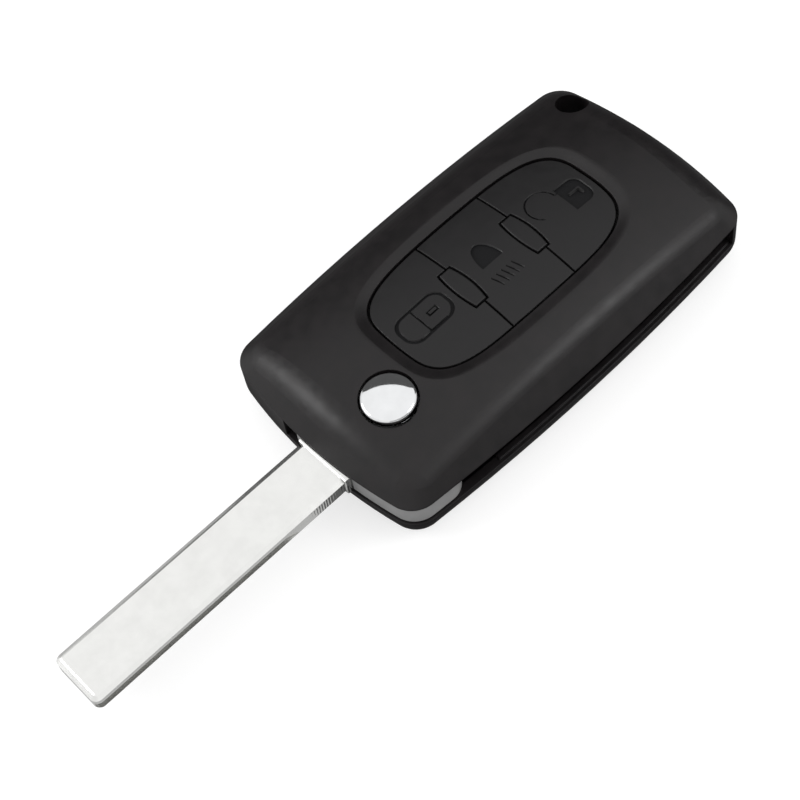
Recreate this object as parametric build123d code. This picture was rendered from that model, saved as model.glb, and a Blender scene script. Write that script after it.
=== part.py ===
from build123d import *
from math import asin, cos, degrees, pi, radians, sin, sqrt, tan
import os

# A car remote key whose blade swings out of a slot in its side.
# Millimetres. +Z is up through the keypad, -X is where the open blade points,
# -Y is the slot side. The origin is under the middle of the whole key, blade out.

# Case, outside
case_length = 70.0
case_width = 39.6
case_height = 15.2
end_bow = 1.4             # how far each end bulges past its corners
side_bow = 1.15           # how far each long side bulges
corner_radius = 4.2
side_slant = 42.0         # degrees from upright, of the long sides above the slot
end_slant = 32.0          # and of the ends
crown_across = 46.0       # radius of the top across the case
crown_along = 300.0       # and along it
shoulder_radius = 5.0     # of the soft ridge between the slants and the top
base_radius = 3.8
wall = 1.4

# Parting line and blade slot
lower_height = 4.4        # rim of the lower shell
slot_height = 3.9
slot_front_end = 5.7      # the front opening's end, across from the slot side
slot_tail_margin = 4.7    # what the slot leaves of the tail
lip_inset = 0.6
lip_height = 0.3
lip_play = 0.06

# Keyring hole
ring_hole_radius = 2.5
ring_from_tail = 5.25
ring_from_side = 7.6
ring_wall = 1.1

# Pivot, from the case
pivot_from_front = 10.6
pivot_offset = 5.4        # towards the slot side
pivot_run = 0.06          # radial running clearance
swing_gap = 0.15          # between the holder and the shells, above and below

# Blade
blade_out = 44.0          # from the case front to the tip
blade_width = 8.9
blade_thickness = 3.0
blade_offset = 2.55       # blade centreline from the pivot, away from the slot side
blade_corner = 1.1
blade_bevel = 0.7
blade_edge_break = 0.12
tang_length = 6.0
tang_width = 6.6
tang_thickness = 2.2
root_length = 1.6
root_step = 0.25          # the root shoulder stands this much wider and thicker
root_proud = 0.45         # and this far out of the case
root_round = 0.3
groove_depth = 0.8
groove_height = 1.3
groove_land = 0.5         # blade left below the groove
groove_start = 9.0        # from the case front
groove_runout = 5.0

# Blade holder
holder_inset = 0.3        # its outside lies this far inside the case's
holder_left = 3.9         # its front corner, across from the slot side
holder_hub = 9.4          # radius of its round back
holder_end = 1.6          # its end on the slot side, behind the pivot
holder_end_round = 3.2
holder_corner_round = 0.9
holder_edge_break = 0.15
collar_radius = 5.6
collar_height = 2.5
journal_radius = 3.0
journal_length = 2.0
bush_wall = 1.5
pin_radius = 0.8
tang_play = 0.02

# Release button
cap_radius = 3.9
cap_ring_gap = 0.3
cap_proud = 0.35
cap_rise = 0.8
cap_thickness = 1.1
cap_rim_round = 0.5
skirt_radius = 3.35
skirt_play = 0.08
skirt_wall = 0.6
release_travel = 1.6
wing_reach = 5.0
wing_width = 2.0
wing_height = 1.4
wing_play = 0.1
spring_wire = 0.6
spring_turns = 5
spring_play = 0.1

# Keypad
pad_x = 1.1               # pad centre from the case centre
pad_y = 0.0
pad_end_margin = 16.0     # half the case less half the pad, along it
pad_side_margin = 10.25   # and across it
pad_power = 3.8           # squareness of the oval
pad_recess = 0.5
dish_width = 1.7
dish_depth = 0.45
pad_groove = 0.35
pad_sink = 0.08           # keys lie this far under the dish's floor
key_thickness = 1.2
key_travel = 0.4
key_gap = 0.26
key_round = 0.2
split_near = -4.8         # the two splits between keys, from the case centre
split_far = 7.3
island_length = 7.2
island_width = 2.7
island_bow = 0.4
island_shift_x = -0.45    # island centre from its split
island_shift_y = -0.3     # and from the pad centre
web_thickness = 0.6
web_gap = 0.15            # between the web and a pressed key
flange_width = 1.2
flange_gap = 0.05
flange_room = 0.2         # what the shell's fittings leave free round the frame
end_post_shift = 0.6      # the outer keys' posts stand this far off their middles, inwards
middle_post_shift = 0.4   # and the middle key's post this far towards the front

# Pictograms pressed into the keys, placed from the pad centre
icon_depth = 0.3
icon_line = 0.3
lock_icon_x = -13.4
lock_icon_length = 9.0
lock_icon_width = 5.3
lock_icon_round = 2.2
lock_icon_rim = 0.6
lock_split_x = -0.78      # the line between its two halves
keyhole_x = 1.5
keyhole_length = 1.9
keyhole_width = 1.0
light_icon_x = -0.55
light_icon_y = -0.5
light_icon_width = 4.0
light_icon_height = 4.0
ray_count = 5
ray_pitch = 0.97
ray_length = 2.2
ray_gap = 0.6             # under the flat side
ray_slant = 16.5
unlock_icon_x = 15.9
unlock_icon_y = -0.5
unlock_icon_length = 4.2
unlock_icon_width = 4.9
unlock_icon_round = 1.6
shackle_radius = 2.5
shackle_sweep = 235.0     # degrees
shackle_gap = 0.4         # between the bow and the body
shackle_drop = 0.8        # the bow's middle, under the body's upper edge
hook_length = 1.8
hook_drop = 1.2
hook_y = 0.3

# Board and switches
board_thickness = 1.0
board_over_slot = 0.3     # above the slot's roof
board_bush_gap = 2.1      # its front end from the upper bush
board_tail_margin = 9.4   # its tail end from the case's
board_side_margin = 4.2   # its far edge from the case's side
board_width = 24.7
board_corner = 1.5
post_radius = 1.2
post_from_front = 2.2     # posts' axes from the board's edges
post_from_tail = 1.8
post_from_far = 2.0
post_from_middle = 4.4    # the third post, from the pad centre towards the slot side
switch_length = 6.0
switch_width = 3.6
switch_height = 1.5
plunger_radius = 1.0
plunger_height = 0.6
plunger_play = 0.1
well_room = 0.1           # under a pressed plunger
key_post_radius = 1.6
key_post_play = 0.35

# Cell and small parts under the board
cell_radius = 8.0
cell_height = 2.0
cell_cap_radius = 6.9
cell_cap_height = 0.2
cell_play = 0.2
seat_wall = 1.0
seat_height = 0.8         # how far the seat's ring reaches up the cell
seat_gap = 1.0            # wider than the clip
rib_width = 1.6
cell_x = 12.6
cell_y = 6.6
strip = 0.25
strip_width = 4.0
chip_x = -1.2
chip_y = 11.3
chip_length = 6.5
chip_width = 4.4
chip_height = 1.0
coil_x = -1.2
coil_y = 5.6
coil_length = 8.0
coil_width = 3.0
coil_height = 2.0
can_inset = 3.2           # from the board's tail end
can_y = 2.0
can_side = 3.0
can_height = 1.0
capacitor_count = 6
capacitor_pitch = 3.0
capacitor_start = 8.0     # from the board's front end
capacitor_inset = 1.6     # from its far edge
capacitor_length = 1.6
capacitor_width = 0.8

over = 2.0                # how far a cutter runs past what it cuts


# Places worked out from the sizes above
case_x = blade_out / 2
front_x = case_x - case_length / 2
tail_x = case_x + case_length / 2
slot_y = -case_width / 2
slot_top = lower_height + slot_height
slot_tail_x = tail_x - slot_tail_margin
pivot_x = front_x + pivot_from_front
pivot_y = -pivot_offset
holder_bottom = lower_height + swing_gap
holder_top = slot_top - swing_gap
holder_end_x = pivot_x + holder_end
bay_x = holder_end_x + holder_end_round + over
journal_bottom = holder_bottom - journal_length
collar_top = holder_top + collar_height
bush_radius = collar_radius + pivot_run + bush_wall
wing_bottom = collar_top - wing_height
bore_floor = holder_bottom + 0.25 * (holder_top - holder_bottom)
blade_y = pivot_y + blade_offset
blade_z = (holder_bottom + holder_top) / 2
root_x = front_x - root_proud
tang_x = root_x + root_length
pad_half_length = case_length / 2 - pad_end_margin
pad_half_width = case_width / 2 - pad_side_margin
ring_x = tail_x - ring_from_tail
ring_y = case_width / 2 - ring_from_side
board_front = pivot_x + bush_radius + board_bush_gap
board_tail = tail_x - board_tail_margin
board_high = case_width / 2 - board_side_margin
board_low = board_high - board_width
board_bottom = slot_top + board_over_slot
board_top = board_bottom + board_thickness
switch_top = board_top + switch_height
plunger_top = switch_top + plunger_height
cell_bottom = board_bottom - strip - cell_cap_height - cell_height
key_top_drop = pad_recess + pad_sink
key_bottom_drop = key_top_drop + key_thickness
web_top_drop = key_bottom_drop + key_travel + web_gap
web_bottom_drop = web_top_drop + web_thickness
pad_front = pad_x - pad_half_length
pad_tail = pad_x + pad_half_length
keys = {
    "lock": (pad_front - over, split_near - key_gap / 2),
    "light": (split_near + key_gap / 2, split_far - key_gap / 2),
    "unlock": (split_far + key_gap / 2, pad_tail + over),
}
key_middles = {
    "lock": (pad_front + split_near) / 2 + end_post_shift,
    "light": (split_near + split_far) / 2 - middle_post_shift,
    "unlock": (split_far + pad_tail) / 2 - end_post_shift,
}
board_posts = [
    (board_front + post_from_front, board_high - post_from_far),
    (board_tail - post_from_tail, board_high - post_from_far),
    (board_tail - post_from_tail, pad_y - post_from_middle),
]


def crown_z(x, y):
    """Height of the crowned top at a place."""
    along = crown_along - crown_across + sqrt(crown_across**2 - y**2)
    return case_height - crown_along + sqrt(along**2 - (x - case_x) ** 2)


def case_plan(inset=0.0, rise=0.0):
    """Outline of the case: a rectangle of four bowed sides, grown by the corner radius.
    It narrows with the rise above the slot, as the sides and ends slant."""
    half_x = case_length / 2 - end_bow - corner_radius - rise * tan(radians(end_slant))
    half_y = case_width / 2 - side_bow - corner_radius - rise * tan(radians(side_slant))
    tail = ThreePointArc((half_x, -half_y), (half_x + end_bow, 0), (half_x, half_y))
    far = ThreePointArc((half_x, half_y), (0, half_y + side_bow), (-half_x, half_y))
    front = ThreePointArc((-half_x, half_y), (-half_x - end_bow, 0), (-half_x, -half_y))
    near = ThreePointArc((-half_x, -half_y), (0, -half_y - side_bow), (half_x, -half_y))
    core = make_face([tail, far, front, near])
    return Pos(case_x, 0) * offset(core, amount=corner_radius - inset, kind=Kind.ARC)


def plan_block(plan, low, high):
    """Upright block between two levels over a plan drawn at Z = 0."""
    return extrude(Pos(0, 0, low) * plan, high - low)


def span_block(x, y, z):
    """Box given by its lowest and highest X, Y and Z."""
    size = [high - low for low, high in (x, y, z)]
    centre = [(low + high) / 2 for low, high in (x, y, z)]
    return Pos(*centre) * Box(*size)


def centred_block(x, y, length, width, low, high):
    """Box centred on a place in plan, between two levels."""
    return span_block((x - length / 2, x + length / 2), (y - width / 2, y + width / 2), (low, high))


def post(x, y, radius, low, high):
    """Upright cylinder between two levels."""
    foot = (Align.CENTER, Align.CENTER, Align.MIN)
    return Pos(x, y, low) * Cylinder(radius, high - low, align=foot)


def tube(x, y, outer, inner, low, high):
    """Upright pipe between two levels."""
    return post(x, y, outer, low, high) - post(x, y, inner, low, high)


def under_crown(drop=0.0):
    """Everything under the crowned top, or under a surface that lies an even depth below it."""
    half = case_width / 2 + over
    across = crown_across - drop
    centre_z = case_height - crown_across
    arc = []
    for k in range(-3, 4):
        y = half * k / 3
        arc.append((y, centre_z + sqrt(across**2 - y**2)))
    edge = arc[0][1]
    profile = make_face([
        Line((-half, -over), (half, -over)),
        Line((half, -over), (half, edge)),
        Spline(*reversed(arc)),
        Line((-half, edge), (-half, -over)),
    ])
    axis = Axis((case_x, 0, case_height - crown_along), (0, 1, 0))
    swing = degrees(asin((case_length / 2 + over) / (crown_along - case_height - over)))
    profile = (Plane.YZ.offset(case_x) * profile).rotate(axis, -swing)
    return revolve(profile, axis, 2 * swing)


def sheet(plan, top_drop, bottom_drop):
    """Even sheet that follows the crown, cut to a plan."""
    block = plan_block(plan, board_top, case_height + over)
    return (block & under_crown(top_drop)) - under_crown(bottom_drop)


def case_dome(inset, low):
    """The case's form above a level, set in by an even wall: sides, slants, shoulder and crown."""
    bend = slot_top - inset * tan(radians(side_slant / 2))
    rise = case_height + over - bend
    slants = loft([
        Pos(0, 0, bend) * case_plan(inset),
        Pos(0, 0, bend + rise) * case_plan(inset, rise),
    ], ruled=True)
    block = (plan_block(case_plan(inset), low, bend) + slants) & under_crown(inset)
    top = block.faces().sort_by(Axis.Z)[-1]
    return fillet(top.edges(), shoulder_radius - inset)


def case_tray(inset, low, high):
    """The case's form under a level, with its rounded base edge."""
    block = plan_block(case_plan(inset), low, high)
    return fillet(block.faces().sort_by(Axis.Z)[0].edges(), base_radius - inset)


def lip(play, low, high):
    """Ring along the inner half of the case wall, for the tongue and the room it needs."""
    outer = case_plan(lip_inset - play)
    inner = case_plan(wall + play)
    return plan_block(outer, low, high) - plan_block(inner, low, high)


def slot_block(depth, low, high):
    """The blade's way out: round the front corner and along the slot side, to a depth."""
    across = (slot_y - over, slot_front_end)
    front = span_block((front_x - over, front_x + depth), across, (low, high))
    side = span_block((front_x - over, slot_tail_x), (slot_y - over, slot_y + depth), (low, high))
    return front + side


def bay_block(low, high):
    """The front corner of the slot, where the holder turns and the lips stop."""
    return span_block((front_x - over, bay_x), (slot_y - over, slot_front_end), (low, high))


def oval(grow=0.0):
    """The keypad's outline, a superellipse, grown by an even margin."""
    steps = 32
    points = []
    for k in range(steps):
        turn = 2 * pi * (k + 0.5) / steps
        c = cos(turn)
        s = sin(turn)
        x = (pad_half_length + grow) * abs(c) ** (2 / pad_power) * (1 if c > 0 else -1)
        y = (pad_half_width + grow) * abs(s) ** (2 / pad_power) * (1 if s > 0 else -1)
        points.append((x, y))
    return Pos(case_x + pad_x, pad_y) * make_face(Spline(*points, periodic=True))


def island(split, grow=0.0):
    """Plan of the small island on a split: a rectangle whose long edges bow outwards."""
    half_x = island_width / 2 - island_bow + grow
    half_y = island_length / 2 + grow
    bow = half_x + island_bow
    plan = make_face([
        ThreePointArc((half_x, -half_y), (bow, 0), (half_x, half_y)),
        Line((half_x, half_y), (-half_x, half_y)),
        ThreePointArc((-half_x, half_y), (-bow, 0), (-half_x, -half_y)),
        Line((-half_x, -half_y), (half_x, -half_y)),
    ])
    return Pos(case_x + split + island_shift_x, pad_y + island_shift_y) * plan


def make_upper_shell():
    """Crowned top with its skirt: dish, keypad window, button bush, posts, slot, keyring eye."""
    shell = case_dome(0, lower_height) - case_dome(wall, lower_height - over)
    shell = cut_dish(shell) + upper_fittings()
    shell -= post(ring_x, ring_y, ring_hole_radius, -over, case_height + over)
    shell -= slot_block(corner_radius, lower_height - over, slot_top)
    rail = lip(0, slot_top - lip_height, slot_top)
    shell += (rail & slot_block(case_width / 3, 0, case_height)) - bay_block(0, case_height)
    shell -= lip(lip_play, lower_height - over, lower_height + lip_height + lip_play)
    shell -= post(pivot_x, pivot_y, cap_radius + cap_ring_gap, slot_top, case_height + over)
    shell -= post(pivot_x, pivot_y, collar_radius + pivot_run, slot_top, collar_top + swing_gap)
    return shell


def cut_dish(shell):
    """Cut the keypad's window, with a shallow sloping dish all round it."""
    window = plan_block(oval(pad_groove), board_top, case_height + over)
    shell -= window - under_crown(dish_depth)
    top = shell.faces().sort_by(Axis.Z)[-1]
    rim = top.inner_wires()[0].edges()
    shell = chamfer(rim, dish_width, 0.9 * dish_depth, reference=top)
    return shell - window


def upper_fittings():
    """What stands under the top: the bush of the pivot, the board's posts, the ring column."""
    fittings = post(pivot_x, pivot_y, bush_radius, slot_top + swing_gap, case_height)
    fittings += post(ring_x, ring_y, ring_hole_radius + ring_wall, lower_height, case_height)
    for x, y in board_posts:
        fittings += post(x, y, post_radius, board_top, case_height)
    fittings &= case_dome(wall / 2, lower_height)
    fittings -= plan_block(oval(pad_groove), board_top, case_height)
    room = oval(pad_groove + flange_width + flange_room)
    return fittings - sheet(room, wall, web_bottom_drop + flange_room)


def make_lower_shell():
    """Tray with its tongue, the lower bush, the board's posts, the cell's seat, the ring column."""
    shell = case_tray(0, 0, lower_height) - case_tray(wall, wall, lower_height + over)
    shell += lip(0, lower_height - lip_height, lower_height + lip_height)
    shell -= bay_block(lower_height, case_height)
    shell += post(pivot_x, pivot_y, journal_radius + pivot_run + bush_wall, wall / 2, lower_height)
    shell -= post(pivot_x, pivot_y, journal_radius + pivot_run, journal_bottom - swing_gap, lower_height)
    for x, y in board_posts:
        shell += post(x, y, post_radius, wall / 2, board_bottom)
    shell += cell_seat()
    column = post(ring_x, ring_y, ring_hole_radius + ring_wall, 0, lower_height)
    shell += column & case_tray(wall / 2, 0, lower_height)
    return shell - post(ring_x, ring_y, ring_hole_radius, -over, case_height)


def cell_seat():
    """Ring that keeps the coin cell in place, open for the clip, and a rib that bears it."""
    x = case_x + cell_x
    inner = cell_radius + cell_play
    ring = tube(x, cell_y, inner + seat_wall, inner, wall / 2, cell_bottom + seat_height)
    gap = centred_block(x, cell_y, 3 * cell_radius, strip_width + seat_gap, wall, case_height)
    rib = centred_block(x, cell_y, cell_radius, rib_width, wall / 2, cell_bottom - strip)
    return (ring - gap) + rib


def holder_plan():
    """The holder seen from above: the case's own front corner, and a round hub behind."""
    x = ((front_x - over) + holder_end_x) / 2
    y = ((slot_y - over) + holder_left) / 2
    frame = Rectangle(holder_end_x - front_x + over, holder_left - slot_y + over)
    plan = case_plan(holder_inset) & (Pos(x, y) * frame)
    side_end = plan.vertices().group_by(Axis.X)[-1].sort_by(Axis.Y)[0]
    plan = fillet(side_end, holder_end_round)
    front_end = plan.vertices().group_by(Axis.Y)[-1].sort_by(Axis.X)[0]
    plan = fillet(front_end, holder_corner_round)
    return plan + Pos(pivot_x, pivot_y) * Circle(holder_hub)


def make_blade_holder():
    """Head that carries the blade, with a collar above for the button and a journal below."""
    holder = plan_block(holder_plan(), holder_bottom, holder_top)
    edges = holder.faces().sort_by(Axis.Z)[-1].edges() + holder.faces().sort_by(Axis.Z)[0].edges()
    holder = chamfer(edges, holder_edge_break)
    holder += post(pivot_x, pivot_y, collar_radius, holder_top - over, collar_top)
    holder += post(pivot_x, pivot_y, journal_radius, journal_bottom, holder_bottom + over)
    holder -= post(pivot_x, pivot_y, skirt_radius + skirt_play, bore_floor, case_height)
    slot_floor = wing_bottom - release_travel - wing_play
    holder -= wings(wing_play, slot_floor, case_height)
    holder -= tang(tang_play)
    holder -= blade_root(tang_play) + root_mouth()
    return holder - cross_pin()


def wings(play, low, high):
    """The button's two wings, across the blade's direction, between two levels."""
    bar = centred_block(
        pivot_x, pivot_y, wing_width + 2 * play, 2 * (wing_reach + play), low, high
    )
    return bar & post(pivot_x, pivot_y, wing_reach + play, low, high)


def blade_root(play=0.0):
    """Shoulder at the blade's root, a little wider and thicker than the blade."""
    half_width = blade_width / 2 + root_step + play
    half_thickness = blade_thickness / 2 + root_step + play
    root = span_block(
        (root_x, tang_x + play),
        (blade_y - half_width, blade_y + half_width),
        (blade_z - half_thickness, blade_z + half_thickness),
    )
    return fillet(root.faces().sort_by(Axis.X)[0].edges(), root_round)


def root_mouth():
    """The holder's front is open above and below the shoulder, so that it drops in."""
    half_width = blade_width / 2 + root_step + tang_play
    across = (blade_y - half_width, blade_y + half_width)
    return span_block((front_x - over, tang_x + tang_play), across, (holder_bottom, holder_top))


def tang(play=0.0):
    """Narrow inner end of the blade."""
    length = (tang_x - over, tang_x + tang_length + play)
    across = (blade_y - tang_width / 2 - play, blade_y + tang_width / 2 + play)
    half = tang_thickness / 2 + play
    return span_block(length, across, (blade_z - half, blade_z + half))


def cross_pin():
    """Upright pin through the holder and the tang."""
    return post(tang_x + tang_length / 2, blade_y, pin_radius, holder_bottom, holder_top)


def make_key_blade():
    """Plain flat blade: bevelled tip, a milled groove along each narrow side, root and tang."""
    tip_x = front_x - blade_out
    half = blade_width / 2
    z = (blade_z - blade_thickness / 2, blade_z + blade_thickness / 2)
    blade = span_block((tip_x, tang_x), (blade_y - half, blade_y + half), z)
    corners = blade.edges().filter_by(Axis.Z).sort_by(Axis.X)[:2]
    blade = fillet(corners, blade_corner)
    for side in (0, -1):
        flat = blade.faces().sort_by(Axis.Z)[side]
        tip = flat.edges().sort_by(Axis.X)[:3]
        blade = chamfer(tip, blade_bevel, 0.7 * blade_bevel, reference=flat)
        flat = blade.faces().sort_by(Axis.Z)[side]
        blade = chamfer(flat.edges().filter_by(Axis.X), blade_edge_break)
    groove = milled_groove()
    blade -= groove
    blade -= groove.rotate(Axis((0, blade_y, blade_z), (1, 0, 0)), 180)
    return blade + blade_root() + tang() - cross_pin()


def milled_groove():
    """Groove along the slot-side edge, from the tip to where the cutter was lifted out."""
    edge = blade_y - blade_width / 2
    start = front_x - groove_start
    end = start - groove_runout
    tip = front_x - blade_out - over
    middle = ((start + end) / 2, edge + 0.75 * groove_depth)
    plan = make_face([
        Line((tip, edge - over), (start, edge - over)),
        Line((start, edge - over), (start, edge)),
        ThreePointArc((start, edge), middle, (end, edge + groove_depth)),
        Line((end, edge + groove_depth), (tip, edge + groove_depth)),
        Line((tip, edge + groove_depth), (tip, edge - over)),
    ])
    low = blade_z - blade_thickness / 2 + groove_land
    return plan_block(plan, low, low + groove_height)


def make_release_button():
    """Domed cap on a hollow skirt, with two wings that keep it under the shell."""
    rim_z = crown_z(pivot_x, pivot_y) + cap_proud
    cap = post(pivot_x, pivot_y, cap_radius, rim_z - cap_thickness, rim_z)
    cap += cap_dome(rim_z)
    cap = fillet(cap.faces().sort_by(Axis.Z)[-1].edges(), cap_rim_round)
    skirt = post(pivot_x, pivot_y, skirt_radius, wing_bottom, rim_z)
    skirt += wings(0, wing_bottom, collar_top)
    hollow = post(pivot_x, pivot_y, skirt_radius - skirt_wall, wing_bottom, rim_z - cap_thickness)
    return cap + skirt - hollow


def cap_dome(rim_z):
    """Low spherical top of the button."""
    radius = (cap_radius**2 + cap_rise**2) / (2 * cap_rise)
    ball = Pos(pivot_x, pivot_y, rim_z + cap_rise - radius) * Sphere(radius)
    return ball & post(pivot_x, pivot_y, cap_radius, rim_z, rim_z + over)


def make_flip_spring():
    """Coil spring between the holder and the button's cap."""
    top = crown_z(pivot_x, pivot_y) + cap_proud - cap_thickness
    height = top - bore_floor - spring_wire - 2 * spring_play
    radius = skirt_radius - skirt_wall - spring_play - spring_wire / 2
    path = Helix(height / spring_turns, height, radius)
    wire = Plane(path @ 0, z_dir=path % 0) * Circle(spring_wire / 2)
    low = bore_floor + spring_wire / 2 + spring_play
    return Pos(pivot_x, pivot_y, low) * sweep(wire, path, is_frenet=True)


def make_key(name):
    """One rubber key: a piece of the oval, cut round the islands, on a post to its switch."""
    low, high = keys[name]
    strip_plan = Rectangle(high - low, case_width)
    plan = oval() & (Pos(case_x + (low + high) / 2, 0) * strip_plan)
    for split in (split_near, split_far):
        plan -= island(split, key_gap)
    key = soft_top(sheet(plan, key_top_drop, key_bottom_drop))
    icon = Pos(case_x + pad_x, pad_y) * icons[name]()
    key -= sheet(icon, 0, key_top_drop + icon_depth)
    stem = post(case_x + key_middles[name], pad_y, key_post_radius, plunger_top, case_height)
    return key + (stem & under_crown((key_top_drop + key_bottom_drop) / 2))


def soft_top(sheet_piece):
    """The same piece with its upper outline rounded."""
    return fillet(sheet_piece.faces().sort_by(Axis.Z)[-1].outer_wire().edges(), key_round)


def lock_icon():
    """Closed padlock: a sunk rim round two raised halves, with a slot in the right one."""
    inner_length = lock_icon_length - 2 * lock_icon_rim
    inner_width = lock_icon_width - 2 * lock_icon_rim
    outer = RectangleRounded(lock_icon_length, lock_icon_width, lock_icon_round)
    inner = RectangleRounded(inner_length, inner_width, lock_icon_round - lock_icon_rim)
    plan = outer - inner
    plan += Pos(lock_split_x, 0) * Rectangle(icon_line, inner_width + lock_icon_rim)
    keyhole = Rectangle(keyhole_length, keyhole_width)
    keyhole -= Rectangle(keyhole_length - 2 * icon_line, keyhole_width - 2 * icon_line)
    plan += Pos(keyhole_x, 0) * keyhole
    return Pos(lock_icon_x, 0) * plan


def light_icon():
    """Headlight: half an oval with slanted rays under its flat side."""
    dome = EllipticalCenterArc((0, 0), light_icon_width / 2, light_icon_height, 0, arc_size=180)
    flat = Line((-light_icon_width / 2, 0), (light_icon_width / 2, 0))
    plan = make_face([dome, flat])
    for k in range(ray_count):
        x = (k - (ray_count - 1) / 2) * ray_pitch
        plan += Pos(x, -ray_gap - ray_length) * Rot(0, 0, ray_slant) * Rectangle(icon_line, ray_length)
    return Pos(light_icon_x, light_icon_y) * plan


def unlock_icon():
    """Open padlock: a body rounded at the tail, with a hooked slot, and a swung-out shackle."""
    half_x = unlock_icon_length / 2
    half_y = unlock_icon_width / 2
    body = Rectangle(unlock_icon_length, unlock_icon_width)
    body = fillet(body.vertices().group_by(Axis.X)[-1], unlock_icon_round)
    hook_foot = Pos(hook_length / 2, hook_y + (icon_line - hook_drop) / 2)
    hook = Pos(0, hook_y) * Rectangle(hook_length, icon_line)
    hook += hook_foot * Rectangle(icon_line, hook_drop)
    middle = (-half_x - shackle_radius - shackle_gap, half_y - shackle_drop)
    bow = CenterArc(middle, shackle_radius, 0, shackle_sweep)
    link = Line(bow @ 0, (-half_x + icon_line, middle[1]))
    shackle = trace(bow, icon_line) + trace(link, icon_line)
    return Pos(unlock_icon_x, unlock_icon_y) * (body - hook + shackle)


icons = {"lock": lock_icon, "light": light_icon, "unlock": unlock_icon}


def make_keypad_frame():
    """Rubber frame under the top: a flange, a web below the keys, and the two islands."""
    flange = oval(pad_groove + flange_width) - oval(key_gap)
    frame = sheet(flange, wall + flange_gap, web_bottom_drop)
    frame += sheet(oval(pad_groove), web_top_drop, web_bottom_drop)
    for split in (split_near, split_far):
        frame += soft_top(sheet(island(split), key_top_drop, web_bottom_drop))
    for middle in key_middles.values():
        hole = key_post_radius + key_post_play
        frame -= post(case_x + middle, pad_y, hole, board_top, case_height)
    return frame


def make_circuit_board():
    """Board between the shells' posts."""
    x = (board_front + board_tail) / 2
    y = (board_low + board_high) / 2
    plan = RectangleRounded(board_tail - board_front, board_high - board_low, board_corner)
    return plan_block(Pos(x, y) * plan, board_bottom, board_top)


def make_switch(name):
    """Switch body with a round well for its plunger."""
    x = case_x + key_middles[name]
    body = centred_block(x, pad_y, switch_length, switch_width, board_top, switch_top)
    well = plunger_radius + plunger_play
    return body - post(x, pad_y, well, plunger_bottom() - key_travel - well_room, switch_top)


def plunger_bottom():
    """Level of a plunger's lower end."""
    return switch_top - 0.5 * switch_height


def make_plunger(name):
    """Round plunger under a key's post."""
    return post(case_x + key_middles[name], pad_y, plunger_radius, plunger_bottom(), plunger_top)


def make_coin_cell():
    """Coin cell with its smaller cap on top."""
    x = case_x + cell_x
    cap_low = cell_bottom + cell_height
    can = post(x, cell_y, cell_radius, cell_bottom, cap_low)
    return can + post(x, cell_y, cell_cap_radius, cap_low, cap_low + cell_cap_height)


def make_cell_clip():
    """Strip under the cell with a leg up to the board at each end."""
    x = case_x + cell_x
    reach = cell_radius + cell_play
    half = strip_width / 2
    clip = centred_block(x, cell_y, 2 * reach, strip_width, cell_bottom - strip, cell_bottom)
    for side in (-1, 1):
        leg = sorted((x + side * reach, x + side * (reach + strip)))
        clip += span_block(leg, (cell_y - half, cell_y + half), (cell_bottom - strip, board_bottom))
    return clip


def make_cell_contact():
    """Pad on the board against the cell's cap."""
    low = cell_bottom + cell_height + cell_cap_height
    return centred_block(case_x + cell_x, cell_y, 2 * strip_width, strip_width, low, board_bottom)


def make_capacitors():
    """Row of small capacitors along the board's far edge."""
    parts = []
    for k in range(capacitor_count):
        x = board_front + capacitor_start + k * capacitor_pitch
        y = board_high - capacitor_inset
        top = board_top + capacitor_width
        parts.append(centred_block(x, y, capacitor_length, capacitor_width, board_top, top))
    return Compound(parts)


def make_resonator():
    """Flat metal can on the board, near its tail end."""
    x = board_tail - can_inset
    return centred_block(x, can_y, can_side, can_side, board_top, board_top + can_height)


def under_board(x, y, length, width, depth):
    """Flat component hanging from the board."""
    return centred_block(case_x + x, y, length, width, board_bottom - depth, board_bottom)


parts = {
    "upper_shell": make_upper_shell(),
    "lower_shell": make_lower_shell(),
    "keypad_frame": make_keypad_frame(),
    "release_button": make_release_button(),
    "flip_spring": make_flip_spring(),
    "blade_holder": make_blade_holder(),
    "key_blade": make_key_blade(),
    "blade_pin": cross_pin(),
    "circuit_board": make_circuit_board(),
    "coin_cell": make_coin_cell(),
    "cell_clip": make_cell_clip(),
    "cell_contact": make_cell_contact(),
    "controller_chip": under_board(chip_x, chip_y, chip_length, chip_width, chip_height),
    "transponder_coil": under_board(coil_x, coil_y, coil_length, coil_width, coil_height),
    "resonator": make_resonator(),
    "capacitors": make_capacitors(),
}
for name in keys:
    parts[f"{name}_button"] = make_key(name)
    parts[f"{name}_switch"] = make_switch(name)
    parts[f"{name}_plunger"] = make_plunger(name)

os.makedirs("parts", exist_ok=True)
for node, shape in parts.items():
    export_step(shape, f"parts/{node}.step")
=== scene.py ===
# %% [markdown]
# # A car remote key with a flip-out blade
# The key lies on a white table with its blade swung out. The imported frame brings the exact
# solids, already in place and in metres, so a lens, a lamp or a finish can be placed by the real
# object's millimetres. This lesson dresses the solids: it sets the camera, mixes each finish from
# what the real surface is and how it was made, and adds the small pieces that the solids leave out.

import math

import bmesh
import bpy
from mathutils import Matrix, Vector


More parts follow.
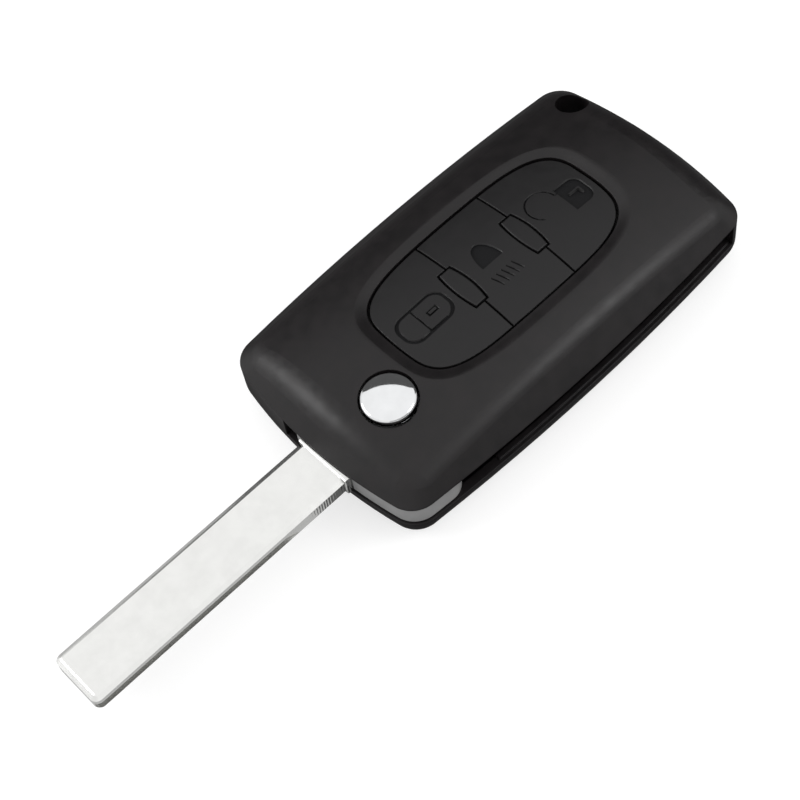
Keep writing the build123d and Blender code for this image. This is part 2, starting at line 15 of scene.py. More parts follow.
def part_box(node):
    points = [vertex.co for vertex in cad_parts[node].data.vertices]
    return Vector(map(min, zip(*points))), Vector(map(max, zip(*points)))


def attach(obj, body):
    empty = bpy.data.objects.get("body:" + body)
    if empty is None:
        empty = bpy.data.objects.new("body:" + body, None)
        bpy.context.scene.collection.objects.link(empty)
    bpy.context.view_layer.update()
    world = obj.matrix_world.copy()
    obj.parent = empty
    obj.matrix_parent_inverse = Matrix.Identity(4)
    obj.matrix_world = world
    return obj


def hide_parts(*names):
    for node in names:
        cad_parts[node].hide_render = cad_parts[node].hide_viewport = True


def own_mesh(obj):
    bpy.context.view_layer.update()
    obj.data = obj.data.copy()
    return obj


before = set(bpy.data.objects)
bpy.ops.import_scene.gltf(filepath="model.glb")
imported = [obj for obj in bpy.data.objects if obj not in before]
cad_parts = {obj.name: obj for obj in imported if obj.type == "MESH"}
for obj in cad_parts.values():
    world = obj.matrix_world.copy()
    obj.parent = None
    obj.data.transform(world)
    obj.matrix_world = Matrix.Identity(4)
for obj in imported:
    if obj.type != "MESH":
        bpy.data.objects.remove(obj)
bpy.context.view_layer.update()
mm = 0.001
case_low, case_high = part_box("lower_shell")
case_x = (case_low[0] + case_high[0]) / 2 / mm
print("middle of the case, mm:", round(case_x, 2))

# %% [markdown]
# ## The camera
# The picture is taken from above the blade's side with a longish lens, turned a little so that
# the key runs from bottom left to top right. Three angles, a distance and a focal length say
# all that: the camera stands on a sphere round a target point and is rolled about its own axis.
# A camera could also be dragged by hand until it looks right, but with numbers every edge of the
# key can be tested against the photograph.

# %% Set the camera
azimuth = math.radians(-34.2)
elevation = math.radians(58.57)
roll = math.radians(-11.37)
distance = 247.1 * mm
target = Vector((case_x - 21.52, -3.76, 8.0)) * mm
picture_px = 800
focal_px = 1804.9
sensor_width = 36.0
nearest_seen = 10 * mm

back = Vector((
    math.sin(azimuth) * math.cos(elevation),
    -math.cos(azimuth) * math.cos(elevation),
    math.sin(elevation),
))
right = Vector((math.cos(azimuth), math.sin(azimuth), 0.0))
up = back.cross(right)
turned_right = right * math.cos(roll) + up * math.sin(roll)
turned_up = up * math.cos(roll) - right * math.sin(roll)

camera_data = bpy.data.cameras.new("camera")
camera = bpy.data.objects.new("camera", camera_data)
bpy.context.scene.collection.objects.link(camera)
axes = Matrix((turned_right, turned_up, back)).transposed().to_4x4()
camera.matrix_world = Matrix.Translation(target + back * distance) @ axes
camera_data.sensor_width = sensor_width
camera_data.lens = focal_px * sensor_width / picture_px
camera_data.clip_start = nearest_seen
bpy.context.scene.camera = camera
print("camera, mm:", [round(v / mm, 1) for v in camera.location])

# %% [markdown]
# ## Colours and nodes
# A paint chart gives colours as hex codes in sRGB, but the renderer counts in linear light, so
# one function turns the codes. A second one adds a node with its settings and links, so that
# each finish below reads as a short recipe. The nodes could be laid out by hand in the editor
# too, but a recipe can be read, compared and repeated.

# %% Colour and node helpers
def linear(code):
    """Linear RGBA of an sRGB hex colour such as #303030."""
    channels = [int(code[i:i + 2], 16) / 255 for i in (1, 3, 5)]
    return tuple(c / 12.92 if c <= 0.04045 else ((c + 0.055) / 1.055) ** 2.4 for c in channels) + (1.0,)


def add(tree, kind, settings=None, links=None):
    """Add a node, set its properties and sockets, and link sockets of earlier nodes to it.
    Sockets are given by name, or by number where a node has several of one name."""
    node = tree.nodes.new(kind)
    for name, value in (settings or {}).items():
        if isinstance(name, int) or name in node.inputs:
            node.inputs[name].default_value = value
        else:
            setattr(node, name, value)
    for name, source in (links or {}).items():
        tree.links.new(source, node.inputs[name])
    return node


def new_material(name, **sockets):
    """A material with its Principled shader, whose sockets are set by name."""
    material = bpy.data.materials.new(name)
    material.use_nodes = True
    tree = material.node_tree
    shader = tree.nodes["Principled BSDF"]
    for socket, value in sockets.items():
        shader.inputs[socket.replace("_", " ")].default_value = value
    return material, tree, shader


print("middle grey in linear light:", round(linear("#808080")[0], 3))

# %% [markdown]
# ## What a moulded surface has
# No moulded or milled edge is sharp: it catches a thin line of light. The Bevel node bends the
# normal near an edge as a real rounding would, without a single new face. Over it lies a fine
# grain, as the mould's eroded wall or the plating leaves it, and slow patches of colour and
# gloss, as pellets, handling and wear leave them. Each is worked out from its size in
# millimetres. A real grain of about 0.1 mm is finer than a pixel here, so it is drawn coarser.
# Narrow hollows may also take a painted shade: their colour runs darker where less of the sky reaches them.

# %% Edge, grain and patches
# Noise between these values runs from the first colour or roughness to the second
tint_span = (0.32, 0.68)
gloss_span = (0.3, 0.7)
# Shares of open sky between which a hollow's painted shade clears
sky_span = (0.3, 0.9)


def paint_hollow_shade(tree, colour, reach, dark):
    """Painted shade: the colour, run to a dark one where little sky is open within a reach in millimetres.
    """
    sky = add(tree, "ShaderNodeAmbientOcclusion", {"Distance": reach * mm, "samples": 8})
    clear = add(tree, "ShaderNodeMapRange", {"From Min": sky_span[0], "From Max": sky_span[1]},
                {"Value": sky.outputs["AO"]})
    painted_shade_mix = add(tree, "ShaderNodeMix", {"data_type": "RGBA", 6: linear(dark)},
               {0: clear.outputs["Result"], 7: colour})
    return painted_shade_mix.outputs[2]


def surface(tree, shader, edge, grain, depth, patch, colours, gloss, relief=None, hollow=None):
    """Soften the edges by a radius, add grain of a pitch and depth, and patches of a width
    that run between two colours and two roughnesses. A hollow, given by a reach and a colour,
    takes a painted shade. All sizes are in millimetres."""
    place = add(tree, "ShaderNodeTexCoord")
    shape = add(tree, "ShaderNodeBevel", {"Radius": edge * mm, "samples": 6})
    if relief:
        shape = relief(tree, place, shape)
    fine = add(tree, "ShaderNodeTexNoise", {"Scale": 1 / (grain * mm), "Detail": 2.0, "Roughness": 0.6},
               {"Vector": place.outputs["Object"]})
    bump = add(tree, "ShaderNodeBump", {"Distance": depth * mm},
               {"Height": fine.outputs["Fac"], "Normal": shape.outputs["Normal"]})
    tree.links.new(bump.outputs["Normal"], shader.inputs["Normal"])
    slow = add(tree, "ShaderNodeTexNoise", {"Scale": 1 / (patch * mm), "Detail": 3.0},
               {"Vector": place.outputs["Object"]})
    tint = add(tree, "ShaderNodeValToRGB", links={"Fac": slow.outputs["Fac"]})
    for element, position, code in zip(tint.color_ramp.elements, tint_span, colours):
        element.position = position
        element.color = linear(code)
    colour = tint.outputs["Color"]
    if hollow:
        colour = paint_hollow_shade(tree, colour, *hollow)
    tree.links.new(colour, shader.inputs["Base Color"])
    spread = add(tree, "ShaderNodeMapRange", {
        "From Min": gloss_span[0],
        "From Max": gloss_span[1],
        "To Min": gloss[0],
        "To Max": gloss[1],
    }, {"Value": slow.outputs["Fac"]})
    tree.links.new(spread.outputs["Result"], shader.inputs["Roughness"])


# %% [markdown]
# ## The dish round the keypad
# The case dips softly towards the oval keypad, so that a thumb finds it. The solid has this dish
# as a plain slope; here a relief rounds it into the crown. The distance from the oval's outline,
# a superellipse, comes from a few sums on the surface's own coordinates, and a smooth step turns
# it into height. A finer mesh could carry the same shape, but not more exactly.

# %% A relief for the dish
pad_centre = Vector((case_x + 1.1, 0.0, 0.0)) * mm
pad_half_length = 19.0 * mm
pad_half_width = 9.55 * mm
pad_power = 3.8
dish_reach = 2.6 * mm
dish_depth = 0.5 * mm


def dish(tree, place, shape):
    """Height of the hollow round the oval pad, from the distance to the oval's outline."""
    moved = add(tree, "ShaderNodeMapping", {"Location": -pad_centre}, {"Vector": place.outputs["Object"]})
    parts = add(tree, "ShaderNodeSeparateXYZ", links={"Vector": moved.outputs["Vector"]})
    powers = []
    for axis, half in (("X", pad_half_length), ("Y", pad_half_width)):
        size = add(tree, "ShaderNodeMath", {"operation": "ABSOLUTE"}, {0: parts.outputs[axis]})
        share = add(tree, "ShaderNodeMath", {"operation": "DIVIDE", 1: half}, {0: size.outputs[0]})
        power = add(tree, "ShaderNodeMath", {"operation": "POWER", 1: pad_power}, {0: share.outputs[0]})
        powers.append(power.outputs[0])
    total = add(tree, "ShaderNodeMath", {"operation": "ADD"}, {0: powers[0], 1: powers[1]})
    inner = add(tree, "ShaderNodeMath", {"operation": "POWER", 1: -1 / pad_power}, {0: total.outputs[0]})
    outer = add(tree, "ShaderNodeMath", {"operation": "SUBTRACT", 0: 1.0}, {1: inner.outputs[0]})
    flat = add(tree, "ShaderNodeCombineXYZ", links={"X": parts.outputs["X"], "Y": parts.outputs["Y"]})
    reach = add(tree, "ShaderNodeVectorMath", {"operation": "LENGTH"}, {0: flat.outputs["Vector"]})
    away = add(tree, "ShaderNodeMath", {"operation": "MULTIPLY"},
               {0: reach.outputs["Value"], 1: outer.outputs[0]})
    rise = add(tree, "ShaderNodeMapRange", {
        "interpolation_type": "SMOOTHSTEP", "From Min": 0.0, "From Max": dish_reach,
    }, {"Value": away.outputs[0]})
    return add(tree, "ShaderNodeBump", {"Distance": dish_depth},
               {"Height": rise.outputs["Result"], "Normal": shape.outputs["Normal"]})


print("oval pad, mm:", [round(2 * half / mm, 2) for half in (pad_half_length, pad_half_width)])

# %% [markdown]
# ## The finishes that show
# The shells are black ABS from a spark-eroded mould: nearly black, with a soft sheen that spreads
# over the crowned top and tightens to a band on the shoulders. The keypad is silicone rubber, a
# little duller; the floors of its pictograms are left rough and take a darker colour, a painted shade.
# The blade's head is a satin grey casting. The button is chromed and polished. Pictures of such
# surfaces could be laid on instead, but a recipe of nodes keeps its grain from every side and at any
# distance.

# %% Mix the finishes
# Black ABS, eroded texture: dark body colour, wide soft highlight
eroded_abs, tree, shader = new_material("spark_eroded_abs", Specular_IOR_Level=0.32)
surface(tree, shader, edge=0.16, grain=0.22, depth=0.006, patch=2.5,
        colours=("#121011", "#171415"), gloss=(0.36, 0.44), relief=dish)

# Silicone rubber from a blasted mould: duller and a touch softer than the shell
silicone, tree, shader = new_material("moulded_silicone", Specular_IOR_Level=0.32)
surface(tree, shader, edge=0.03, grain=0.18, depth=0.003, patch=2.0,
        colours=("#121112", "#151415"), gloss=(0.42, 0.5))

# The pressed floors of the pictograms: rough, and darker in colour as a painted shade
recess, tree, shader = new_material("pressed_silicone_painted_shade", Specular_IOR_Level=0.2)
surface(tree, shader, edge=0.02, grain=0.12, depth=0.003, patch=1.5,
        colours=("#09090b", "#0c0c0e"), gloss=(0.55, 0.65))

# Zinc casting with satin grey paint: even and slightly grainy
satin_grey, tree, shader = new_material("satin_grey_casting", Specular_IOR_Level=0.45)
surface(tree, shader, edge=0.12, grain=0.2, depth=0.004, patch=3.0,
        colours=("#7e7e7e", "#888888"), gloss=(0.36, 0.46))

# Chromed brass, polished: almost a mirror
chrome, tree, shader = new_material("polished_chrome", Metallic=1.0)
surface(tree, shader, edge=0.14, grain=2.5, depth=0.0008, patch=3.0,
        colours=("#dedfe0", "#e6e7e8"), gloss=(0.05, 0.09))
print("finishes that show:", [finish.name for finish in (eroded_abs, silicone, recess, satin_grey, chrome)])

# %% [markdown]
# ## Nickelled steel with cutter marks
# The flats of the blade are ground before plating and look almost white under the softbox, with
# a faint mottle from the plating bath. Its narrow sides and grooves are milled: the cutter leaves
# a ripple across its path, about 0.1 mm apart on the real blade and drawn at 0.45 mm so that it
# shows. The ripple could be cut into the mesh, but a wave along the blade costs no faces. It is
# let through only where the surface doesn't face up or down.

# %% The blade's finish
cutter_step = 0.45 * mm
cutter_depth = 0.05 * mm
upright_below = 0.5
# The Wave node turns by this many radians a unit before its Scale
wave_turning = 20
nickel, tree, shader = new_material("nickelled_steel", Metallic=1.0)


def cutter_marks(tree, place, shape):
    """Ripple along the blade on the faces that stand upright."""
    facing = add(tree, "ShaderNodeNewGeometry")
    parts = add(tree, "ShaderNodeSeparateXYZ", links={"Vector": facing.outputs["True Normal"]})
    level = add(tree, "ShaderNodeMath", {"operation": "ABSOLUTE"}, {0: parts.outputs["Z"]})
    upright = add(tree, "ShaderNodeMath", {"operation": "LESS_THAN", 1: upright_below},
                  {0: level.outputs[0]})
    wave = add(tree, "ShaderNodeTexWave", {
        "bands_direction": "X", "Scale": math.tau / (wave_turning * cutter_step),
        "Distortion": 1.5, "Detail": 2.0,
    }, {"Vector": place.outputs["Object"]})
    height = add(tree, "ShaderNodeMath", {"operation": "MULTIPLY"},
                 {0: wave.outputs["Fac"], 1: upright.outputs[0]})
    return add(tree, "ShaderNodeBump", {"Distance": cutter_depth},
               {"Height": height.outputs[0], "Normal": shape.outputs["Normal"]})


# The blade's hollows take a painted shade: the colour runs to #8a8a88 where little sky is open within 0.8
# mm
surface(tree, shader, edge=0.05, grain=0.9, depth=0.0012, patch=2.2,
        colours=("#dfdfdd", "#e4e4e2"), gloss=(0.15, 0.22), relief=cutter_marks, hollow=(0.8, "#8a8a88"))
print("cutter marks, mm apart:", round(cutter_step / mm, 2))

# %% [markdown]
# ## The finishes inside
# Nothing of the inside shows while the shells are closed, but the pieces keep their
# finishes, so each gets the one that its maker gives it: a green mask over the board's copper,
# tumbled stainless steel on the cell, gold-flashed strips, dull epoxy on the chip and the coil,
# hard drawn wire for the spring, acetal for the plungers. One grey for all would be quicker, but
# an opened model would then say nothing about how a key is made.

# %% Mix the inner finishes
# Solder mask over glass laminate: green, glossy, a little wavy over the tracks
solder_mask, tree, shader = new_material("solder_mask", Specular_IOR_Level=0.5)
surface(tree, shader, edge=0.08, grain=0.6, depth=0.006, patch=4.0,
        colours=("#0f4327", "#155233"), gloss=(0.22, 0.34))

# Stainless can of the coin cell, tumbled: satin and faintly scratched
tumbled_steel, tree, shader = new_material("tumbled_cell_steel", Metallic=1.0)
surface(tree, shader, edge=0.12, grain=0.35, depth=0.004, patch=3.0,
        colours=("#b4b4b2", "#c3c3c1"), gloss=(0.28, 0.4))

# Spring strip with a gold flash: warm and smooth
gold_flashed, tree, shader = new_material("gold_flashed_strip", Metallic=1.0)
surface(tree, shader, edge=0.05, grain=0.5, depth=0.002, patch=2.0,
        colours=("#c2a468", "#d0b377"), gloss=(0.2, 0.32))

# Drawn music wire, and the hardened cross pin: darker steel with a fine grain from the die
drawn_wire, tree, shader = new_material("drawn_spring_wire", Metallic=1.0)
surface(tree, shader, edge=0.04, grain=0.3, depth=0.003, patch=1.2,
        colours=("#9b9ca0", "#aaabae"), gloss=(0.25, 0.36))

# Transfer-moulded epoxy: black, matt, full of fine filler
filled_epoxy, tree, shader = new_material("filled_epoxy", Specular_IOR_Level=0.4)
surface(tree, shader, edge=0.06, grain=0.15, depth=0.005, patch=1.5,
        colours=("#17171a", "#1e1e21"), gloss=(0.5, 0.64))

# Drawn nickel-silver can of the resonator: even satin metal
nickel_silver, tree, shader = new_material("nickel_silver_can", Metallic=1.0)
surface(tree, shader, edge=0.1, grain=0.3, depth=0.003, patch=2.0,
        colours=("#b9b8b2", "#c6c5bf"), gloss=(0.3, 0.42))

# Fired ceramic of the chip capacitors: matt tan
fired_ceramic, tree, shader = new_material("fired_ceramic", Specular_IOR_Level=0.5)
surface(tree, shader, edge=0.05, grain=0.12, depth=0.005, patch=0.8,
        colours=("#7b5f3f", "#8d6f4c"), gloss=(0.5, 0.62))

# Nylon switch bodies: black with a fine moulded grain
moulded_nylon, tree, shader = new_material("moulded_nylon", Specular_IOR_Level=0.45)
surface(tree, shader, edge=0.08, grain=0.2, depth=0.005, patch=1.5,
        colours=("#1a1a1b", "#222223"), gloss=(0.42, 0.55))

# Acetal plungers: waxy white
acetal, tree, shader = new_material("natural_acetal", Subsurface_Weight=0.1, Subsurface_Scale=0.5 * mm)
surface(tree, shader, edge=0.1, grain=0.3, depth=0.003, patch=1.5,
        colours=("#dcdbd2", "#e6e5dc"), gloss=(0.32, 0.42))
print("finishes mixed so far:", len(bpy.data.materials))

# %% [markdown]
# ## A finish for every solid
# Each solid takes one finish. They could be picked by hand in the material list, but a table of
# names shows at a glance which pieces are of one stuff, and a solid that it leaves out stops the
# script.

# %% Give every solid its finish
finishes = {
    "upper_shell": eroded_abs,
    "lower_shell": eroded_abs,
    "keypad_frame": silicone,
    "lock_button": silicone,
    "light_button": silicone,
    "unlock_button": silicone,
    "release_button": chrome,
    "flip_spring": drawn_wire,
    "blade_holder": satin_grey,
    "key_blade": nickel,
    "blade_pin": drawn_wire,
    "circuit_board": solder_mask,
    "coin_cell": tumbled_steel,
    "cell_clip": gold_flashed,
    "cell_contact": gold_flashed,
    "controller_chip": filled_epoxy,
    "transponder_coil": filled_epoxy,
    "resonator": nickel_silver,
    "capacitors": fired_ceramic,
    "lock_switch": moulded_nylon,
    "light_switch": moulded_nylon,
    "unlock_switch": moulded_nylon,
    "lock_plunger": acetal,
    "light_plunger": acetal,
    "unlock_plunger": acetal,
}
for name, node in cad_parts.items():
    node.data.materials.clear()
    node.data.materials.append(finishes[name])
print("finishes given:", len(finishes))

# %% [markdown]
# ## Keys with pressed pictograms
# Each key carries a generic pictogram, pressed into the rubber and left rough. The solids hold
# the pictograms as shallow pockets. A welded copy of each key replaces its solid: its pocket
# floors go a little deeper, and they get the rough finish with a darker colour as painted shade,
# while the rest keeps the rubber's own. A welded copy of each key replaces its solid, because
# only a copy may be changed: its pocket floors go a little deeper, and they get the rough
# finish, while the rest keeps the rubber's own. The solid's triangles are long slivers here, and
# smooth shading would smear over them, so every face that lies level with the crown takes its
# normals from the crown's own arcs.

# %% Copy and weld a solid
weld_reach = 0.001 * mm
sharp_from = math.radians(25)


def merged_copy(node, name):
    """A welded copy of a node's mesh, shaded smooth between its sharp edges."""
    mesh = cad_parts[node].data.copy()
    work = bmesh.new()
    work.from_mesh(mesh)
    bmesh.ops.remove_doubles(work, verts=work.verts, dist=weld_reach)
    for face in work.faces:
        face.smooth = True
    work.to_mesh(mesh)
    work.free()
    mesh.set_sharp_from_angle(angle=sharp_from)
    piece = bpy.data.objects.new(name, mesh)
    bpy.context.scene.collection.objects.link(piece)
    return piece


# %% Follow the crown
# The crowned top's two arcs and its height, in millimetres, as in the solids
crown_across = 46.0
crown_along = 300.0
case_height = 15.2
# A face is level with the crown when its corners lie equally deep, within this much
level_play = 0.04


def crown_height(x, y):
    """Height of the case's crowned top, in millimetres."""
    along = crown_along - crown_across + math.sqrt(crown_across**2 - y**2)
    return case_height - crown_along + math.sqrt(along**2 - (x - case_x) ** 2)


def crown_normal(x, y):
    """Direction in which the crowned top faces at a place given in millimetres."""
    step = 0.01
    along = (crown_height(x + step, y) - crown_height(x - step, y)) / (2 * step)
    across = (crown_height(x, y + step) - crown_height(x, y - step)) / (2 * step)
    return Vector((-along, -across, 1.0)).normalized()


def crown_drops(mesh):
    """How far each point of a mesh lies under the crown, in millimetres."""
    drops = []
    for vertex in mesh.vertices:
        x, y, z = vertex.co / mm
        drops.append(crown_height(x, y) - z)
    return drops


def crowned_normals(mesh, drops):
    """The normals of a mesh's corners, taken from the crown on the faces level with it."""
    normals = [corner.vector.copy() for corner in mesh.corner_normals]
    for polygon in mesh.polygons:
        levels = [drops[index] for index in polygon.vertices]
        if polygon.normal.z > 0 and max(levels) - min(levels) < level_play:
            for corner in polygon.loop_indices:
                place = mesh.vertices[mesh.loops[corner].vertex_index].co / mm
                normals[corner] = crown_normal(place.x, place.y)
    return normals


# %% Press the pictograms
# How deep the pictograms' floors lie under the crown, and how much deeper they go, in millimetres
icon_drop = 0.88
icon_extra = 0.1


def pressed_key(name):
    """A key whose pictogram lies deeper, with the recess finish, rough and in painted shade, on its floor.
    """
    piece = merged_copy(f"{name}_button", f"{name}_key_pad")
    mesh = piece.data
    mesh.materials.clear()
    mesh.materials.append(silicone)
    mesh.materials.append(recess)
    drops = crown_drops(mesh)
    normals = crowned_normals(mesh, drops)
    floor_points = {index for index, drop in enumerate(drops) if abs(drop - icon_drop) < level_play}
    for polygon in mesh.polygons:
        sunk = all(index in floor_points for index in polygon.vertices)
        polygon.material_index = 1 if sunk else 0
    for index in floor_points:
        mesh.vertices[index].co.z -= icon_extra * mm
    mesh.normals_split_custom_set(normals)
    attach(piece, f"{name}_key")
    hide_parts(f"{name}_button")
    print(name, "pictogram points moved:", len(floor_points))


for name in ("lock", "light", "unlock"):
    pressed_key(name)

# %% [markdown]
# ## The spring under the button
# The coil stands in the holder's bore and pushes the button up. When a thumb presses the button,
# the coil's top goes down with it and its foot stays where it is. A welded copy of the coil takes
# the solid's place, hangs from the release body and gets a mesh of its own.

# %% Copy the spring
coil = merged_copy("flip_spring", "button_coil")
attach(coil, "release")
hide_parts("flip_spring")
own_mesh(coil)

# %% [markdown]
# ## The chip's leads
# The controller chip hangs under the board on two rows of gull-wing leads, which the solids
# leave out. One lead is a flat strip swept along a short S from the package to the board. What
# repeats along a line is work for Geometry Nodes: the tree sets points at the leads' pitch,
# puts the strip on each, and turns a second row round to face the other way. Modelling each
# lead by hand would give the same mesh, but the count and pitch would be frozen in it.

# %% Bend one lead
# Shares of the lead's reach at which its S bends out of the package and into the foot
bend_share = 0.55
knee_share = 0.45
# Thickness of the strip, as a share of its width
thin_share = 0.4


def bent_lead(tree, given):
    """One lead: a flat strip swept along an S, out to the lead's reach and up by its rise."""
    foot = add(tree, "ShaderNodeCombineXYZ", links={"Y": given["Reach"], "Z": given["Rise"]})
    bend = add(tree, "ShaderNodeVectorMath", {"operation": "MULTIPLY", 1: (0.0, bend_share, 0.0)},
               {0: foot.outputs["Vector"]})
    knee = add(tree, "ShaderNodeVectorMath", {"operation": "MULTIPLY", 1: (0.0, knee_share, 1.0)},
               {0: foot.outputs["Vector"]})
    path = add(tree, "GeometryNodeCurvePrimitiveBezierSegment", {
        "Resolution": 8,
        "Start": (0.0, 0.0, 0.0),
    }, {
        "Start Handle": bend.outputs["Vector"],
        "End Handle": knee.outputs["Vector"],
        "End": foot.outputs["Vector"],
    })
    thin = add(tree, "ShaderNodeMath", {"operation": "MULTIPLY", 1: thin_share}, {0: given["Strip"]})
    profile = add(tree, "GeometryNodeCurvePrimitiveQuadrilateral",
                  links={"Width": given["Strip"], "Height": thin.outputs[0]})
    lead = add(tree, "GeometryNodeCurveToMesh", {"Fill Caps": True},
               {"Curve": path.outputs["Curve"], "Profile Curve": profile.outputs["Curve"]})
    return lead.outputs["Mesh"]


# %% A tree that makes rows of leads
def lead_rows(tree, given, lead):
    """Two rows of a lead along X, one on each side of a package centred on the origin."""
    less = add(tree, "ShaderNodeMath", {"operation": "SUBTRACT", 1: 1.0}, {0: given["Count"]})
    span = add(tree, "ShaderNodeMath", {"operation": "MULTIPLY"}, {0: less.outputs[0], 1: given["Pitch"]})
    first = add(tree, "ShaderNodeMath", {"operation": "MULTIPLY", 1: -0.5}, {0: span.outputs[0]})
    start = add(tree, "ShaderNodeCombineXYZ", links={"X": first.outputs[0], "Y": given["Half Width"]})
    step = add(tree, "ShaderNodeCombineXYZ", links={"X": given["Pitch"]})
    row = add(tree, "GeometryNodeMeshLine", links={
        "Count": given["Count"],
        "Start Location": start.outputs["Vector"],
        "Offset": step.outputs["Vector"],
    })
    placed = add(tree, "GeometryNodeInstanceOnPoints",
                 links={"Points": row.outputs["Mesh"], "Instance": lead})
    turned = add(tree, "GeometryNodeTransform", {"Rotation": (0.0, 0.0, math.pi)},
                 {"Geometry": placed.outputs["Instances"]})
    both = add(tree, "GeometryNodeJoinGeometry", links={"Geometry": placed.outputs["Instances"]})
    tree.links.new(turned.outputs["Geometry"], both.inputs["Geometry"])
    return both.outputs["Geometry"]


def lead_tree(finish):
    """The tree that grows the chip's leads in a finish, with their sizes as its named inputs."""
    tree = bpy.data.node_groups.new("gull_wing_leads", "GeometryNodeTree")
    tree.interface.new_socket("Count", in_out="INPUT", socket_type="NodeSocketInt")
    for socket in ("Pitch", "Half Width", "Reach", "Rise", "Strip"):
        tree.interface.new_socket(socket, in_out="INPUT", socket_type="NodeSocketFloat")
    tree.interface.new_socket("Geometry", in_out="OUTPUT", socket_type="NodeSocketGeometry")
    given = add(tree, "NodeGroupInput").outputs
    rows = lead_rows(tree, given, bent_lead(tree, given))
    real = add(tree, "GeometryNodeRealizeInstances", links={"Geometry": rows})
    dressed = add(tree, "GeometryNodeSetMaterial", {"Material": finish},
                  {"Geometry": real.outputs["Geometry"]})
    add(tree, "NodeGroupOutput", links={"Geometry": dressed.outputs["Geometry"]})
    return tree


# %% Turn a tree into a piece
def grown(name, tree, sizes, move):
    """The plain mesh that a tree gives with its named sizes, moved to its place."""
    seed = bpy.data.objects.new("seed", bpy.data.meshes.new("seed"))
    bpy.context.scene.collection.objects.link(seed)
    modifier = seed.modifiers.new("tree", "NODES")
    modifier.node_group = tree
    for item in tree.interface.items_tree:
        if item.in_out == "INPUT":
            modifier[item.identifier] = sizes[item.name]
    evaluated = seed.evaluated_get(bpy.context.evaluated_depsgraph_get())
    mesh = bpy.data.meshes.new_from_object(evaluated)
    seed.modifiers.remove(modifier)
    bpy.data.objects.remove(seed)
    mesh.transform(Matrix.Translation(move))
    mesh.name = name
    piece = bpy.data.objects.new(name, mesh)
    bpy.context.scene.collection.objects.link(piece)
    print(name, "faces:", len(mesh.polygons))
    return piece


# %% [markdown]
# ## The leads in their place
# The leads are tinned copper strip. The package's own box gives the rows their width and their
# height, so they stay on it if its size changes; numbers read off a drawing would not. A lead
# starts a little inside the package and ends just short of the board, where solder would hold it.

# %% Grow the chip's leads
# Tinned copper leads: soft bright metal
tinned_copper, tree, shader = new_material("tinned_copper", Metallic=1.0)
surface(tree, shader, edge=0.03, grain=0.2, depth=0.003, patch=0.8,
        colours=("#c6c6c4", "#d2d2d0"), gloss=(0.24, 0.36))

lead_count = 7
lead_pitch = 0.85 * mm
lead_reach = 0.7 * mm
lead_strip = 0.35 * mm
root_inside = 0.05 * mm
foot_below = 0.1 * mm
chip_low, chip_high = (Vector(corner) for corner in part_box("controller_chip"))
chip_middle = (chip_low + chip_high) / 2
leads = grown("chip_leads", lead_tree(tinned_copper), {
    "Count": lead_count,
    "Pitch": lead_pitch,
    "Half Width": (chip_high.y - chip_low.y) / 2 - root_inside,
    "Reach": lead_reach,
    "Rise": (chip_high.z - chip_low.z) / 2 - foot_below,
    "Strip": lead_strip,
}, chip_middle)
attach(leads, "case")

# %% [markdown]
# ## A white studio
# The photograph is a catalogue picture: the key on pure white, lit from all round. The world is
# a white dome, a little dimmer as light than it looks, so that pale metal doesn't burn out. The
# table looks white to the lens and to gloss, but keeps the key's soft shadow. A picture of a real
# studio could light the key too, but the chrome would show that room.

# %% Tell looks from light
white = linear("#ffffff")


def bare_tree(owner):
    """The emptied node tree of a material or a world."""
    owner.use_nodes = True
    owner.node_tree.nodes.clear()
    return owner.node_tree


def seen_directly(tree):
    """1 for rays that see the backdrop: from the camera, off gloss or through glass."""
    rays = add(tree, "ShaderNodeLightPath").outputs
    seen = rays["Is Camera Ray"]
    for kind in ("Is Glossy Ray", "Is Transmission Ray"):
        either = add(tree, "ShaderNodeMath", {"operation": "MAXIMUM"}, {0: seen, 1: rays[kind]})
        seen = either.outputs[0]
    return seen


# %% World and table
dome_light = 0.8
dome_look = 1.0
world = bpy.data.worlds.new("studio")
bpy.context.scene.world = world
tree = bare_tree(world)
lit = add(tree, "ShaderNodeBackground", {"Color": white, "Strength": dome_light})
looks = add(tree, "ShaderNodeBackground", {"Color": white, "Strength": dome_look})
dome = add(tree, "ShaderNodeMixShader",
           links={0: seen_directly(tree), 1: lit.outputs[0], 2: looks.outputs[0]})
add(tree, "ShaderNodeOutputWorld", links={"Surface": dome.outputs[0]})

# White laminate: it lights the key as pale grey, and looks white where no shadow falls
table_size = 4
table_gap = 0.05 * mm
table_glow = 0.66
bpy.ops.mesh.primitive_plane_add(size=table_size)
table = bpy.context.object
table.name = "table"
table.location.z = -table_gap
laminate = bpy.data.materials.new("white_table")
tree = bare_tree(laminate)
plain = add(tree, "ShaderNodeBsdfDiffuse", {"Color": linear("#e7e7e7")})
shaded = add(tree, "ShaderNodeBsdfDiffuse", {"Color": linear("#aeaeae")})
glow = add(tree, "ShaderNodeEmission", {"Color": white, "Strength": table_glow})
bright = add(tree, "ShaderNodeAddShader", links={0: shaded.outputs[0], 1: glow.outputs[0]})
top = add(tree, "ShaderNodeMixShader",
          links={0: seen_directly(tree), 1: plain.outputs[0], 2: bright.outputs[0]})
add(tree, "ShaderNodeOutputMaterial", links={"Surface": top.outputs[0]})
table.data.materials.append(laminate)
print("table, m across:", table_size)

# %% [markdown]
# ## Cards
# In a white room a glossy black thing looks grey all over. A photographer stands dark cards
# round it, so that its slopes reflect something darker and their edges read. Darker walls would
# do that too, and take the light with them. These cards are seen by reflections alone: they cast
# no shadow and the lens looks through them. Two stand, and two lie between the key and the table,
# a dark one under the case and a light one under the blade.

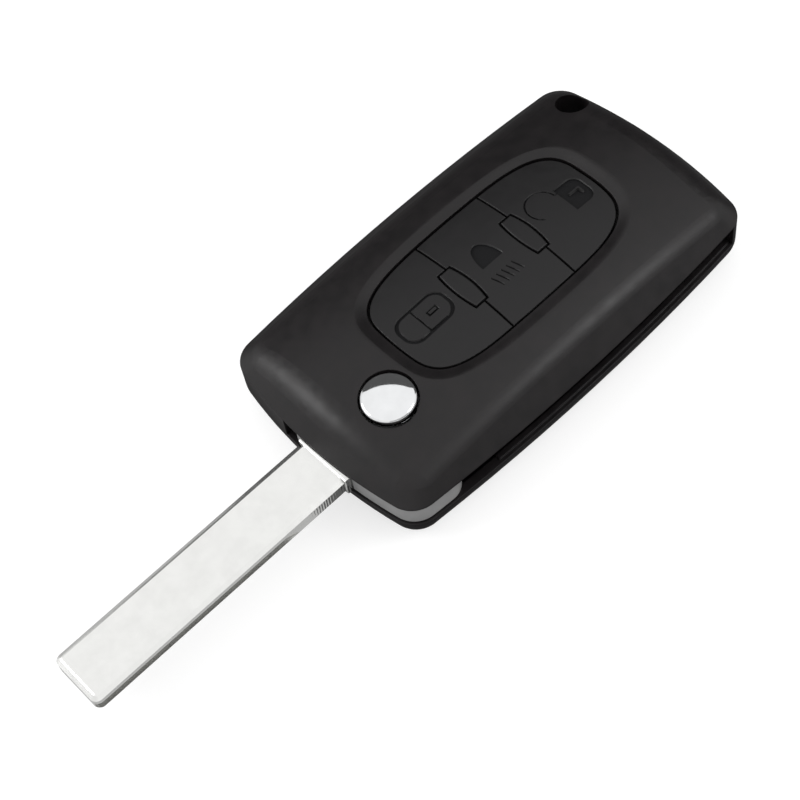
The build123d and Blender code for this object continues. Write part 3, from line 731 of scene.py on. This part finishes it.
# %% Stand the cards
def card(name, corners, grey):
    """A flat card that only reflections see, given by its corners in millimetres."""
    mesh = bpy.data.meshes.new(name)
    mesh.from_pydata([Vector(corner) * mm for corner in corners], [], [(0, 1, 2, 3)])
    paper = bpy.data.materials.new(name)
    tree = bare_tree(paper)
    matt = add(tree, "ShaderNodeEmission", {"Color": white, "Strength": grey})
    add(tree, "ShaderNodeOutputMaterial", links={"Surface": matt.outputs[0]})
    mesh.materials.append(paper)
    piece = bpy.data.objects.new(name, mesh)
    bpy.context.scene.collection.objects.link(piece)
    for kind in ("camera", "diffuse", "transmission", "shadow", "volume_scatter"):
        setattr(piece, f"visible_{kind}", False)
    print(name, "grey:", grey)


def standing_card(name, start, end, height, grey):
    """A card that stands on the table between two points."""
    card(name, [(*start, 0), (*end, 0), (*end, height), (*start, height)], grey)


standing_card("back_card", start=(-14, 341), end=(338, -43), height=212, grey=0.1)
standing_card("near_card", start=(-200, -220), end=(300, -220), height=140, grey=0.42)

# %% Lay the mats
mat_level = -0.02
mat_near = -70
mat_far = 200
mat_split = case_low[0] / mm - 3


def lying_mat(name, left, tail, grey):
    """A mat that lies under the key from one X to another, in millimetres."""
    card(name, [(left, mat_near, mat_level), (tail, mat_near, mat_level),
                (tail, mat_far, mat_level), (left, mat_far, mat_level)], grey)


lying_mat("case_mat", left=mat_split, tail=280, grey=0.12)
lying_mat("blade_mat", left=-90, tail=mat_split, grey=0.55)

# %% [markdown]
# ## Softboxes
# Two small softboxes give the crowned top its two bands of sheen: one beyond the blade on the far
# side, one off the tail on the near side. A third, large and weak, hangs overhead and lifts the
# middle. Each is given by the radiance that its face shows, so that a highlight's level can be
# read off the photograph, and its power follows from its size. Watts alone would have to be
# found again for every size of lamp.

# %% Hang the lamps
def softbox(name, place, width, depth, radiance, turn=0.0):
    """A rectangular lamp at a place in metres, facing the key, given by the radiance it shows."""
    lamp = bpy.data.lights.new(name, "AREA")
    lamp.shape = "RECTANGLE"
    lamp.size = width
    lamp.size_y = depth
    lamp.energy = radiance * math.pi * width * depth
    lamp_object = bpy.data.objects.new(name, lamp)
    bpy.context.scene.collection.objects.link(lamp_object)
    lamp_object.location = place
    facing = Vector(place).to_track_quat("Z", "Y").to_matrix()
    lamp_object.rotation_euler = (facing @ Matrix.Rotation(math.radians(turn), 3, "Z")).to_euler()
    print(name, "watts:", round(lamp.energy, 3))


softbox("overhead", place=(0.02, 0.05, 0.6), width=1.4, depth=1.4, radiance=0.12, turn=42.5)
softbox("front_light", place=(-0.186, 0.184, 0.177), width=0.18, depth=0.13, radiance=5.4)
softbox("near_light", place=(0.128, -0.143, 0.168), width=0.1, depth=0.08, radiance=5.0)

# %% [markdown]
# ## The end
# The Standard view shows each colour as it is given.

# %% Set the view
bpy.context.scene.view_settings.view_transform = "Standard"
